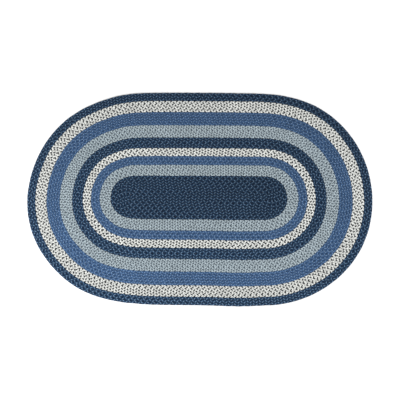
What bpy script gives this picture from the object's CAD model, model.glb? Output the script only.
# %% [markdown]
# # A braided oval rug
# This lesson dresses a plain model of a rug. The rug is made of flat three-strand braid, laid in rounds
# about a straight seam and laced edge to edge. The plain model holds the size and place of each run of
# colour. The lesson lays real braid in the same place, with every lobe of every strand modelled.

import bpy
import numpy as np
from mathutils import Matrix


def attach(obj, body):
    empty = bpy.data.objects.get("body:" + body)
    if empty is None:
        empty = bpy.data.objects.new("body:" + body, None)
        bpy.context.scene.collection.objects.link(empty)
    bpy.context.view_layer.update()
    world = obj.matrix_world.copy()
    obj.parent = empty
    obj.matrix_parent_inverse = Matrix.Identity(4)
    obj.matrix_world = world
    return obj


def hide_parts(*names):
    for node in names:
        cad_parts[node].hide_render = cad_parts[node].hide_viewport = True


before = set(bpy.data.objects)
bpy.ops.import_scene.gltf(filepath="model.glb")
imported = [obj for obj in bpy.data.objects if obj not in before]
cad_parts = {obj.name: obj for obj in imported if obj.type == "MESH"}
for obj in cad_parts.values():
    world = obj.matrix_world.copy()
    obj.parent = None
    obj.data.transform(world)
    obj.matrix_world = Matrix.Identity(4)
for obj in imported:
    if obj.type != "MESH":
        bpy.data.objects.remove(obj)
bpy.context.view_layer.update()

# %% [markdown]
# ## The runs of colour
# The maker works outwards from the seam, in nine runs of one yarn each. Each braid has two strands of
# nearly the same shade and one of another, which is what speckles the rug. The strand that differs comes
# round again after one repeat of the braid, so a longer repeat spreads the speckles further apart. It is
# also the thinnest one, and its lobe takes up less than a third of the repeat. The same yarn comes in
# batches, some a little darker in tone. The rug could be one mesh with its rings of colour painted on. As
# pieces of their own, the runs can each have their own width, repeat and yarn.

# %% Runs of colour
# Each row has the rounds of braid in a run, the width of a round and the length of a repeat in metres, the
# share of a repeat that the odd strand's lobe takes, the yarn, and how light this batch of it is.
COLUMNS = ("rounds", "width", "repeat", "odd", "yarn", "tone")
RUNS = {  # from the seam outwards
    node: dict(zip(COLUMNS, row))
    for node, *row in (
        ("centre_navy", 8, 0.01915, 0.0435, 0.19, "navy", 0.83),
        ("inner_grey", 4, 0.01925, 0.0365, 0.18, "grey", 0.96),
        ("inner_blue", 3, 0.0211, 0.0365, 0.2, "blue", 0.98),
        ("inner_cream", 3, 0.0189, 0.041, 0.25, "cream", 1.0),
        ("middle_navy", 4, 0.0191, 0.0435, 0.19, "navy", 1.02),
        ("outer_grey", 5, 0.0174, 0.0365, 0.18, "grey", 0.99),
        ("outer_blue", 5, 0.01885, 0.0365, 0.2, "blue", 1.01),
        ("outer_cream", 4, 0.0197, 0.041, 0.2, "cream", 0.93),
        ("edge_navy", 3, 0.0196, 0.0435, 0.19, "navy", 1.02),
    )
}
ROUNDS = sum(run["rounds"] for run in RUNS.values())
RIM_REACH = sum(run["rounds"] * run["width"] for run in RUNS.values())
print("rounds:", ROUNDS, "reach of the last from the seam, m:", round(RIM_REACH, 4))

# %% [markdown]
# ## The coil
# A hand-laced rug is never a perfect oval. Its rounds start a little off the middle, one shoulder is
# slack, and here and there the braid spreads or draws in. Each round could be drawn as a curve of its
# own, but then no two would fit. One formula for all of them keeps neighbouring rounds edge to edge. Its
# numbers are the plain model's own, in metres.

# %% The outline of any round
SEAM_HALF = 0.468  # half the length of the straight seam
COIL_START = (-0.0076, 0.0127)  # where the coil begins, from the middle of its last round
COIL_TURN = np.radians(-0.3)  # how far the whole coil lies off true
SIDE_BOW = 0.0036  # how far the last round's sides bow out at mid-length
SLACK_SHOULDER = 0.0125  # how far the last round falls short at its far left shoulder
UNEVEN = (  # share of the way round, spread in the same share, and push on the last round
    (0.13, 0.024, -0.006),
    (0.38, 0.031, -0.0125),
    (0.53, 0.032, 0.009),
    (0.631, 0.028, -0.012),
    (0.812, 0.036, 0.008),
    (0.956, 0.049, 0.009),
)
UNEVEN_GROWTH = 0.6  # the unevenness grows outwards as this power of the reach
TURN_SHARE, SIDE_SHARE = 0.3, 0.2  # shares of the way round in a half turn and in a side
SHARES = np.linspace(0, 1, 4001)  # the shares of the way round at which a round is measured


def coil_point(share, reach):
    """A point of the outline that lies `reach` out from the seam, a `share` of the way round anticlockwise
    from the right-hand tip. It goes along the seam, and from there out by a radius in the direction that
    the round faces. The radius is the reach, plus the bow of the sides, less the slack shoulder, plus a
    bell-shaped push at each uneven spot."""
    lap = (share + TURN_SHARE / 2) % 1
    half = (lap >= 0.5).astype(float)
    into = lap - half / 2
    facing = np.pi * (np.minimum(into / TURN_SHARE, 1) - 0.5 + half)
    along = (1 - 2 * half) * (1 - 2 * np.maximum(into - TURN_SHARE, 0) / SIDE_SHARE)
    out = reach / RIM_REACH
    push = sum(
        rise * np.exp(-((((share - at + 0.5) % 1 - 0.5) / spread) ** 2)) for at, spread, rise in UNEVEN
    )
    far_left = (np.cos(facing) < 0) & (np.sin(facing) > 0)
    slack = SLACK_SHOULDER * out**2 * np.abs(np.sin(2 * facing)) * far_left
    radius = reach + SIDE_BOW * out * (1 - along**2) - slack + push * out**UNEVEN_GROWTH
    x = COIL_START[0] * (1 - out) + along * SEAM_HALF + radius * np.cos(facing)
    y = COIL_START[1] * (1 - out) + radius * np.sin(facing)
    cosine, sine = np.cos(COIL_TURN), np.sin(COIL_TURN)
    return x * cosine - y * sine, x * sine + y * cosine


def way_round(reach):
    """The length walked from the right-hand tip to each of SHARES: the chords added up."""
    x, y = coil_point(SHARES, reach)
    return np.concatenate([[0], np.cumsum(np.hypot(np.diff(x), np.diff(y)))])


rim_x, rim_y = coil_point(SHARES, RIM_REACH)
MIDDLE = (rim_x.min() + rim_x.max()) / 2, (rim_y.min() + rim_y.max()) / 2
print("last round, m:", round(np.ptp(rim_x), 4), "by", round(np.ptp(rim_y), 4))

# %% [markdown]
# ## The braid
# In a flat braid each strand swings from edge to edge, over one strand and under the next, and it shows
# as a lobe each time that it comes over. The lobes lie in two columns that meet in a chevron. Strands
# could be bent tubes, but a rug holds half a kilometre of them and most of each tube would be hidden. The
# visible skin needs far fewer faces: a grid whose lines are swept into the chevron, so that each groove
# between two lobes lies exactly on a grid line.

# %% The shape of one repeat
STRANDS = 3  # each shows once in a column before it comes round again
LINES = 12  # grid lines in a repeat
LOBE = LINES // STRANDS
HALF_LOBE = LOBE // 2  # right-hand lobes start this many lines before the left-hand ones
SWEEP = 0.16  # a lobe runs forwards by this share of a repeat from its edge to the middle of the braid
BEND = 0.3  # the part of the sweep that comes only near the edge, where a strand turns over
SECTION = {  # half the braid, from the floor up: its place as a share of half the width, and its height
    "foot": {"crest": (0.86, 0.0), "groove": (0.82, 0.0)},
    "flank": {"crest": (1.01, 0.0046), "groove": (0.97, 0.0042)},
    "shoulder": {"crest": (0.80, 0.0088), "groove": (0.76, 0.0052)},
    "top": {"crest": (0.42, 0.0102), "groove": (0.40, 0.0062)},
}
HALF = len(SECTION)  # the grid's middle column
ACROSS = 2 * HALF + 1  # points across the braid
TIP_PLACE, TIP_HEIGHT = 0.16, 0.0070  # a lobe's tip comes up from this far on the other side of the middle
ROUNDING = np.array([0.0, 0.88, 1.0, 0.72])  # height of a lobe from its groove to the line before the next
PUFF = 0.0003  # how much one lobe stands out more than another


def sweep(place):
    """How far forwards the grid lies at a place across, in repeats: nearly straight from the middle, and
    bending over towards the edge."""
    out = np.minimum(np.abs(place), 1)
    return SWEEP * (1 - (1 - BEND) * out - BEND * out**3)


def braid_relief(rng, repeats):
    """Place across and height of every grid point of a round. Down each column a lobe rises from its groove
    to its crest and falls to the next groove, and each point lies that far between its groove and crest
    rows. The middle column zigzags, so that lobes from the two sides interlock."""
    line = np.arange(repeats * LINES)
    place, height = np.zeros((2, len(line), ACROSS))
    for side, early in ((-1, 0), (1, HALF_LOBE)):
        up = ROUNDING[(line + early) % LOBE]
        lobe = (line + early) // LOBE % (repeats * STRANDS)
        puff = rng.normal(0, PUFF, repeats * STRANDS)[lobe] * up
        for step, row in enumerate(SECTION.values()):
            column = HALF + side * (HALF - step)
            (crest, top), (groove, low) = row["crest"], row["groove"]
            place[:, column] = side * (groove + (crest - groove) * up)
            height[:, column] = low + (top - low) * up + puff * (top > 0)
    place[:, HALF] = -TIP_PLACE * np.cos(2 * np.pi * line / LOBE)
    height[:, HALF] = TIP_HEIGHT
    return place, height


place, height = braid_relief(np.random.default_rng(0), 1)
print("one repeat:", place.shape, "points, heights, mm:", (height[2] * 1000).round(1))

# %% [markdown]
# ## Laying it in rounds
# Each round holds a whole number of repeats, so that its end meets its start. Lacing pulls the strands of
# neighbouring rounds into step, so the number divides by four and the rounds are nearly in step at the
# middles of the sides and at the tips. In between, an outer round runs ahead, and the speckles fan out.
# The grid is carried round the coil: one direction is the distance walked along the round, and the other
# is the reach between its two lacing lines. The odd strand is the thinnest, so the other two crowd its
# lobes. Beside the points, every corner keeps its place in the braid as a map, which is what the yarn's
# material reads. Modifiers could copy one repeat along a curve instead, but then all lobes would be
# alike, and the ends of every round would have to be welded.

# %% Lacing lines and crowded lobes
EVEN = 1 / STRANDS  # the share of a repeat that a lobe takes if the strands are alike
# The odd strand shows as the third lobe of the left column and as the second of the right one. These are
# the grid lines in the middle of the two.
ODD_LOBES = (2.5 * LOBE, 1.5 * LOBE - HALF_LOBE)
WAVES, CRESTS = 8, (5, 70)  # sine waves in which a lacing line strays, and the range of their crests
WANDER, RIM_WANDER = 0.0003, 0.00012  # the spread of the waves' heights between two rounds, and at the rim
LACING_SEED = 1000  # the seeds of the lacing lines go up from here, and those of the rounds from 0
LINE_UPS = 4  # the strands line up at this many places round the rug
FAR_SIDE = 0.25  # share of the way round at the middle of the far side, one of those places
LAG, LAG_SPREAD = 0.1, 0.14  # in repeats, how far on a round is there from the last, and how uneven that is
SEAM_SLOT = 0.00002  # the first round bends back on itself and leaves this much room along the seam


def crowding(line, odd):
    """How far forwards the left side, the middle and the right side of each grid line are pushed, in
    repeats. On each side the middle third of a repeat, which is the odd strand's lobe, shrinks to `odd`,
    and the rest stretches evenly to fill the repeat. The middle goes with the side whose lobe has its tip
    there."""
    side = []
    for centre in ODD_LOBES:
        off = ((line - centre) / LINES + 0.5) % 1 - 0.5
        inside = np.minimum(np.abs(off), EVEN / 2)
        beyond = np.abs(off) - inside
        stretched = odd / EVEN * inside + (1 - odd) / (1 - EVEN) * beyond
        side.append(np.sign(off) * stretched - off)
    share = 0.5 - 0.5 * np.cos(2 * np.pi * line / LOBE)
    return side[0], share * side[0] + (1 - share) * side[1], side[1]


def lacing_line(number, share):
    """How far lacing line `number` strays from its place: a sum of sine waves of random height and phase,
    each with a whole number of waves in a round. The seam itself, line 0, stays straight."""
    rng = np.random.default_rng(LACING_SEED + number)
    waves, phase = rng.integers(*CRESTS, WAVES), rng.uniform(0, 2 * np.pi, WAVES)
    size = rng.normal(0, {0: 0, ROUNDS: RIM_WANDER}.get(number, WANDER), WAVES)
    return sum(s * np.sin(2 * np.pi * w * share + p) for w, p, s in zip(waves, phase, size))


print("lacing line 1 strays by up to, mm:", round(1000 * np.abs(lacing_line(1, SHARES)).max(), 2))


# %% One round of braid
def round_faces(place):
    """The corners of each quad of a round, anticlockwise as seen from outside, and each corner's map. The
    quads join neighbours, the last grid line joins the first, and the last column joins the first
    underneath. A corner's map is where it would lie in straight, even braid: how far along, in repeats, and
    its place across. It goes on past the last line, so that no lobe is cut, and starts half a lobe early
    where right-hand lobes do."""
    lines = len(place)
    a, b = np.meshgrid(np.arange(lines), np.arange(ACROSS), indexing="ij")
    rows = np.stack([a, a, a + 1, a + 1], -1)
    columns = np.stack([b, b + 1, b + 1, b], -1) % ACROSS
    quads = rows % lines * ACROSS + columns
    early = (a >= lines - HALF_LOBE) & (b >= HALF) & (b < ACROSS - 1)
    places = place.ravel()[quads]
    maps = np.stack([(rows - early[..., None] * lines) / LINES + sweep(places), places], -1)
    return quads.reshape(-1, 4), maps.reshape(-1, 2)


def lay_round(number, inner, outer, repeat, odd):
    """A closed round of braid between two reaches. A grid line's distance round is its number times the
    line spacing, plus the sweep and the crowding at its place across, all moved on to the far side and by
    the round's lag. Its reach goes from one lacing line to the other with its place across."""
    rng = np.random.default_rng(number)
    way = way_round((inner + outer) / 2)
    repeats = LINE_UPS * round(way[-1] / repeat / LINE_UPS)
    place, height = braid_relief(rng, repeats)
    line = np.arange(repeats * LINES)
    push = np.stack(crowding(line, odd), -1)[:, np.sign(np.arange(ACROSS) - HALF) + 1]
    along = line[:, None] / LINES + sweep(place) + push
    along += FAR_SIDE * repeats + LAG * number + rng.normal(0, LAG_SPREAD)
    walked = along / repeats * way[-1]
    share = np.interp(walked % way[-1], way, SHARES)
    low, high = inner + lacing_line(number, share), outer + lacing_line(number + 1, share)
    reach = np.maximum(low + (place + 1) / 2 * (high - low), SEAM_SLOT)
    x, y = coil_point(share, reach)
    quads, maps = round_faces(place)
    return {
        "points": np.stack([x - MIDDLE[0], y - MIDDLE[1], height], -1).reshape(-1, 3),
        "quads": quads,
        "maps": maps,
        "line": np.repeat(line, ACROSS),
        "column": np.tile(np.arange(ACROSS), len(line)),
        "round": np.full(len(quads), number, np.float32),
    }


def space_inside(points, quads):
    """The volume of a closed mesh: a sixth of the triple products of its triangles' corners, two to a quad.
    It comes out positive only if the faces point outwards."""
    a, b, c, d = points[quads.T]
    return float(((np.cross(a, b) + np.cross(d, a)) * c).sum() / 6)


run = RUNS["centre_navy"]
first = lay_round(0, 0.0, run["width"], run["repeat"], run["odd"])
print("points in the first round:", len(first["points"]))
print("space inside it, litres:", round(1000 * space_inside(first["points"], first["quads"]), 3))


# %% One object for the rounds of a run
def is_crease(line, column):
    """Which edges are creases, from the grid lines and columns of their two ends: the grooves between
    lobes, the zigzag down the middle, and the border of the underside."""
    same_line = line[:, 0] == line[:, 1]
    left, right = (column <= HALF).all(1), (column >= HALF).all(1)
    groove = same_line & ((left & (line[:, 0] % LOBE == 0)) | (right & (line[:, 0] % LOBE == HALF_LOBE)))
    same_column = column[:, 0] == column[:, 1]
    return groove | (same_column & np.isin(column[:, 0], (0, HALF, ACROSS - 1)))


def braid_piece(name, rounds):
    """One object that holds the rounds of a run. Each round's quads count their corners on from the last
    round's, and the grooves between lobes are marked sharp."""
    starts = np.cumsum([0] + [len(r["points"]) for r in rounds])
    quads = np.concatenate([r["quads"] + start for r, start in zip(rounds, starts)])
    points, maps, line, column, number = (
        np.concatenate([r[key] for r in rounds]) for key in ("points", "maps", "line", "column", "round")
    )
    mesh = bpy.data.meshes.new(name)
    mesh.vertices.add(len(points))
    mesh.vertices.foreach_set("co", points.ravel())
    mesh.loops.add(quads.size)
    mesh.loops.foreach_set("vertex_index", quads.ravel())
    mesh.polygons.add(len(quads))
    mesh.polygons.foreach_set("loop_start", np.arange(0, quads.size, 4))
    mesh.update(calc_edges=True)
    mesh.uv_layers.new(name="Braid").uv.foreach_set("vector", maps.ravel())
    mesh.attributes.new("round", "FLOAT", "FACE").data.foreach_set("value", number)
    ends = np.zeros(len(mesh.edges) * 2, np.int32)
    mesh.edges.foreach_get("vertices", ends)
    ends = ends.reshape(-1, 2)
    crease = is_crease(line[ends], column[ends])
    mesh.attributes.new("sharp_edge", "BOOLEAN", "EDGE").data.foreach_set("value", crease)
    piece = bpy.data.objects.new(name, mesh)
    bpy.context.collection.objects.link(piece)
    return piece


# %% Lay every run
runs = {}
reach, number = 0.0, 0
for node, run in RUNS.items():
    edges = reach + run["width"] * np.arange(run["rounds"] + 1)
    laid = [
        lay_round(number + k, inner, outer, run["repeat"], run["odd"])
        for k, (inner, outer) in enumerate(zip(edges[:-1], edges[1:]))
    ]
    runs[node] = braid_piece("braid_" + node, laid)
    length = np.mean([way_round(middle)[-1] for middle in (edges[:-1] + edges[1:]) / 2])
    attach(runs[node], "root")
    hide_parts(node)
    reach, number = edges[-1], number + run["rounds"]
    litres = 1000 * sum(space_inside(r["points"], r["quads"]) for r in laid)
    print(node, "rounds of", round(length, 3), "m, space inside", round(litres, 2), "litres")
print("triangles in all:", sum(len(piece.data.polygons) * 2 for piece in runs.values()))

# %% [markdown]
# ## The yarn
# Each strand is a bundle of matt spun yarns. A flat colour would look like plastic. The material first
# finds where on the braid it is: which column, which lobe, and how far across and along that lobe.
# Everything else follows from that: the strand's colour, how light that lobe came out, the yarns that run
# along it, and the fuzz of loose fibres. A picture of cloth could be laid over the braid instead, but it
# would not turn with the strands. The rug has also lain in the sun. The dark dyes are paler towards one
# side, and the undyed cream is the same all over.


# %% Shader maths
class Wire:
    """One output of a node in a material. Sums, differences, products and powers of wires and numbers add
    Math nodes, so that a formula can be written as it is read."""

    def __init__(self, tree, socket=None):
        self.tree, self.socket = tree, socket

    def node(self, kind, settings=None, inputs=None, output=0):
        """Any node: its kind, its settings, which are set first, and the values or wires of its sockets."""
        made = self.tree.nodes.new(kind)
        for setting, value in (settings or {}).items():
            setattr(made, setting, value)
        for name, value in (inputs or {}).items():
            if isinstance(value, Wire):
                self.tree.links.new(value.socket, made.inputs[name])
            else:
                made.inputs[name].default_value = value
        return Wire(self.tree, made.outputs[output] if made.outputs else None)

    def other(self, output):
        """Another output of the same node."""
        return Wire(self.tree, self.socket.node.outputs[output])

    def maths(self, operation, *values):
        """A Math node: its operation, and the wires or numbers that it works on."""
        return self.node("ShaderNodeMath", {"operation": operation}, dict(enumerate(values)))

    def __add__(self, value):
        return self.maths("ADD", self, value)

    def __sub__(self, value):
        return self.maths("SUBTRACT", self, value)

    def __rsub__(self, value):
        return self.maths("SUBTRACT", value, self)

    def __mul__(self, value):
        return self.maths("MULTIPLY", self, value)

    def __pow__(self, value):
        return self.maths("POWER", self, value)

    __radd__, __rmul__ = __add__, __mul__

    def mix(self, first, second):
        """The colour `first` where this wire is 0, and `second` where it is 1."""
        return self.node("ShaderNodeMix", {"data_type": "RGBA"}, {0: self, 6: first, 7: second}, 2)

    def vector(self, *parts):
        """Three wires or numbers as one vector."""
        return self.node("ShaderNodeCombineXYZ", inputs=dict(enumerate(parts)))

    def tint(self, colour, factor):
        """A colour times another, red by red, green by green and blue by blue."""
        return self.node("ShaderNodeVectorMath", {"operation": "MULTIPLY"}, {0: colour, 1: factor})


def srgb(red, green, blue):
    """A colour picked on screen, from 0 to 255, as the light that it stands for, by the standard curve."""
    share = np.array([red, green, blue]) / 255
    light = np.where(share <= 0.04045, share / 12.92, ((share + 0.055) / 1.055) ** 2.4)
    return (*light.tolist(), 1.0)


# %% Where a point is in the braid
def braid_place(start):
    """The same sweep as the grid's, worked out backwards. The distance along, less the sweep, counts lobes
    down a column: the whole number is the lobe, and the rest is how far across it the point lies. The line
    between the columns is the zigzag of the lobes' tips."""
    where = start.node("ShaderNodeUVMap", {"uv_map": "Braid"})
    along = start.node("ShaderNodeSeparateXYZ", inputs={0: where})
    place = along.other(1)
    out = start.maths("MINIMUM", start.maths("ABSOLUTE", place), 1.0)
    zigzag = start.maths("COSINE", (along - SWEEP) * (2 * np.pi * STRANDS)) * -TIP_PLACE
    right = start.maths("GREATER_THAN", place, zigzag)
    count = (along - SWEEP * (1 - (1 - BEND) * out - BEND * out**3)) * STRANDS + right * 0.5
    lobe = start.maths("FLOOR", count)
    strand = start.maths("FLOORED_MODULO", lobe + right, STRANDS)
    return {"out": out, "right": right, "lobe": lobe, "over": count - lobe, "strand": strand}


# %% Colours and sizes of the yarns
YARNS = {  # colours of the braid's three strands
    "navy": (srgb(23, 42, 66), srgb(37, 62, 88), srgb(94, 120, 147)),
    "blue": (srgb(56, 84, 120), srgb(66, 95, 133), srgb(112, 141, 176)),
    "grey": (srgb(179, 193, 199), srgb(165, 178, 186), srgb(84, 98, 110)),
    "cream": (srgb(231, 233, 229), srgb(218, 220, 217), srgb(42, 47, 52)),
}
FADING = {"navy": 0.28, "blue": 0.17, "grey": 0.03, "cream": 0.0}  # share that a yarn fades over a metre
FADED_SIDE = (-0.35, -1.0, 0.0)  # the way in which the rug is paler
LOBE_WIDTH, LOBE_LENGTH = 8.0, 14.0  # mm, across and along the visible part of a strand
YARNS_ACROSS = 7  # yarns that lie side by side in a strand
TURN = 0.9  # how many of them the bundle turns by along a lobe
PLY = 1.5  # mm along a yarn from one ply to the next
FIBRES, FUZZ, WEAR = 1.6, 6.0, 5.0  # how fine each noise is: spots to a mm, a mm and a metre
FIBRE_PULL = 0.3  # how fine the noise is along a yarn, as a share of how fine it is across
NOISE_SHIFT = 40.0  # how far the noise moves on from one lobe to another, at most
# How light a strand is without these things, and what each of them adds at most.
LIGHT = {"base": 0.42, "strand": 0.26, "fibre": 0.36, "yarn": 0.22, "ply": 0.06, "wear": 0.2}
EDGE_LIGHT = 0.3  # how light a strand is at its edge, as a share of its middle
EDGE_FALL = 4.0  # a strand goes down towards its edge as this power of the distance from its middle
RELIEF = {"edge": 0.6, "yarn": 0.4, "ply": 0.12, "fuzz": 0.35}  # mm that each raises the surface
MATT, MATT_FUZZ = 0.75, 0.3  # roughness, and what the fuzz adds to it
print("a yarn is about", round(LOBE_WIDTH / YARNS_ACROSS, 1), "mm thick")


# %% Braided yarn
def yarn_material(name, strands, tone, fading):
    """A strand's colour times how light it is there. The light part adds up what the lobe, the yarn, its
    fibres and the wear of the rug give. It is darker where the strand goes down beside its neighbour, and
    grows evenly towards the faded side of the rug."""
    material = bpy.data.materials.new(name)
    material.use_nodes = True
    material.node_tree.nodes.clear()
    start = Wire(material.node_tree)
    at = braid_place(start)
    number = start.node("ShaderNodeAttribute", {"attribute_name": "round"}, output=2)
    shade = start.node("ShaderNodeTexWhiteNoise", inputs={0: start.vector(at["lobe"], at["right"], number)})

    # Yarns are rounded ridges along the strand. Each is plied, which shows as slanting marks across it.
    count = at["over"] * YARNS_ACROSS + at["out"] * TURN
    ridge = start.maths("ABSOLUTE", start.maths("SINE", count * np.pi))
    slant = at["out"] * (2 * np.pi * LOBE_LENGTH / PLY) + count * (2 * np.pi)
    ply = start.maths("SINE", slant) * ridge

    # Fibres are noise drawn out along the yarns, and wear is noise over the whole rug.
    yarn = start.vector(at["over"] * LOBE_WIDTH, at["out"] * (LOBE_LENGTH * FIBRE_PULL), shade * NOISE_SHIFT)
    fibre = start.node("ShaderNodeTexNoise", inputs={"Vector": yarn, "Scale": FIBRES, "Detail": 3.0})
    fuzz = start.node("ShaderNodeTexNoise", inputs={"Vector": yarn, "Scale": FUZZ, "Detail": 2.0})
    spot = start.node("ShaderNodeTexCoord", output=3)
    wear = start.node("ShaderNodeTexNoise", inputs={"Vector": spot, "Scale": WEAR, "Detail": 3.0})

    second = start.maths("COMPARE", at["strand"], 1.0, 0.1)
    third = start.maths("COMPARE", at["strand"], 2.0, 0.1)
    colour = third.mix(second.mix(strands[0], strands[1]), strands[2])
    edge = 1 - start.maths("ABSOLUTE", at["over"] * 2 - 1) ** EDGE_FALL
    faded = start.node("ShaderNodeVectorMath", {"operation": "DOT_PRODUCT"}, {0: spot, 1: FADED_SIDE}, 1)
    parts = {"strand": shade, "fibre": fibre, "yarn": ridge, "ply": ply, "wear": wear}
    light = LIGHT["base"] + sum(LIGHT[part] * wire for part, wire in parts.items())
    light = tone * light * (EDGE_LIGHT + (1 - EDGE_LIGHT) * edge) * (1 + fading * faded)
    colour = start.tint(colour, start.vector(light, light, light))

    raised = {"edge": edge, "yarn": ridge, "ply": ply, "fuzz": fuzz}
    height = sum(RELIEF[part] * wire for part, wire in raised.items())
    bump = start.node("ShaderNodeBump", inputs={"Strength": 1.0, "Distance": 0.001, "Height": height})
    shader = start.node(
        "ShaderNodeBsdfPrincipled",
        inputs={
            "Base Color": colour,
            "Roughness": MATT + fuzz * MATT_FUZZ,
            "Specular IOR Level": 0.1,
            "Sheen Weight": 0.03,
            "Sheen Roughness": 0.5,
            "Normal": bump,
        },
    )
    start.node("ShaderNodeOutputMaterial", inputs={0: shader})
    return material


for node, run in RUNS.items():
    finish = yarn_material(node + "_yarn", YARNS[run["yarn"]], run["tone"], FADING[run["yarn"]])
    runs[node].data.materials.append(finish)
print("nodes in a yarn's material:", len(finish.node_tree.nodes))

# %% [markdown]
# ## Floor, light and camera
# The rug lies on a plain white floor. The light is soft and comes from all round. Two broad lamps hang
# low, a strong one at the near left and a weaker one at the right, so that the grooves of the braid fall
# dark between its lobes. One lamp overhead would be simpler, but it would shine into the grooves and
# flatten the braid. The camera looks straight down from far enough away that nothing leans.

# %% Floor
FLOOR_HALF = 30.0  # m from its middle to a side
mesh = bpy.data.meshes.new("floor")
corners = [(x * FLOOR_HALF, y * FLOOR_HALF, 0) for x, y in ((-1, -1), (1, -1), (1, 1), (-1, 1))]
mesh.from_pydata(corners, [], [(0, 1, 2, 3)])
floor = bpy.data.objects.new("floor", mesh)
bpy.context.collection.objects.link(floor)
paint = bpy.data.materials.new("floor_paint")
paint.use_nodes = True
paint.node_tree.nodes["Principled BSDF"].inputs["Base Color"].default_value = srgb(250, 250, 250)
paint.node_tree.nodes["Principled BSDF"].inputs["Roughness"].default_value = 0.9
mesh.materials.append(paint)
print("floor, m:", 2 * FLOOR_HALF, "square")

# %% Light
SKY = 0.9  # how bright the light from all round is
world = bpy.data.worlds.new("studio")
world.use_nodes = True
world.node_tree.nodes["Background"].inputs["Color"].default_value = (1, 1, 1, 1)
world.node_tree.nodes["Background"].inputs["Strength"].default_value = SKY
bpy.context.scene.world = world


def soft_box(name, place, power, size):
    """A square lamp that hangs at a place and faces the middle of the rug."""
    lamp = bpy.data.lights.new(name, "AREA")
    lamp.energy = power
    lamp.size = size
    box = bpy.data.objects.new(name, lamp)
    box.location = place
    box.rotation_euler = (-box.location).to_track_quat("-Z", "Y").to_euler()
    bpy.context.collection.objects.link(box)
    return box


key = soft_box("key", place=(-3.6, -1.7, 1.3), power=165, size=1.6)
fill = soft_box("fill", place=(3.4, 0.0, 1.1), power=62, size=1.6)
print("key lamp to fill lamp:", round(key.data.energy / fill.data.energy, 1), "to 1")

# %% Camera
VIEW_WIDTH = 2.8226  # how much floor the square picture takes in
LENS, SENSOR = 100.0, 36.0  # mm
AIM = (0.0012, -0.0030)  # the spot that is in the middle of the picture
camera = bpy.data.objects.new("camera", bpy.data.cameras.new("camera"))
camera.data.lens, camera.data.sensor_width = LENS, SENSOR
camera.location = (*AIM, VIEW_WIDTH * LENS / SENSOR)
bpy.context.collection.objects.link(camera)
bpy.context.scene.camera = camera
bpy.context.scene.view_settings.view_transform = "Standard"
print("camera height, m:", round(camera.location.z, 2))
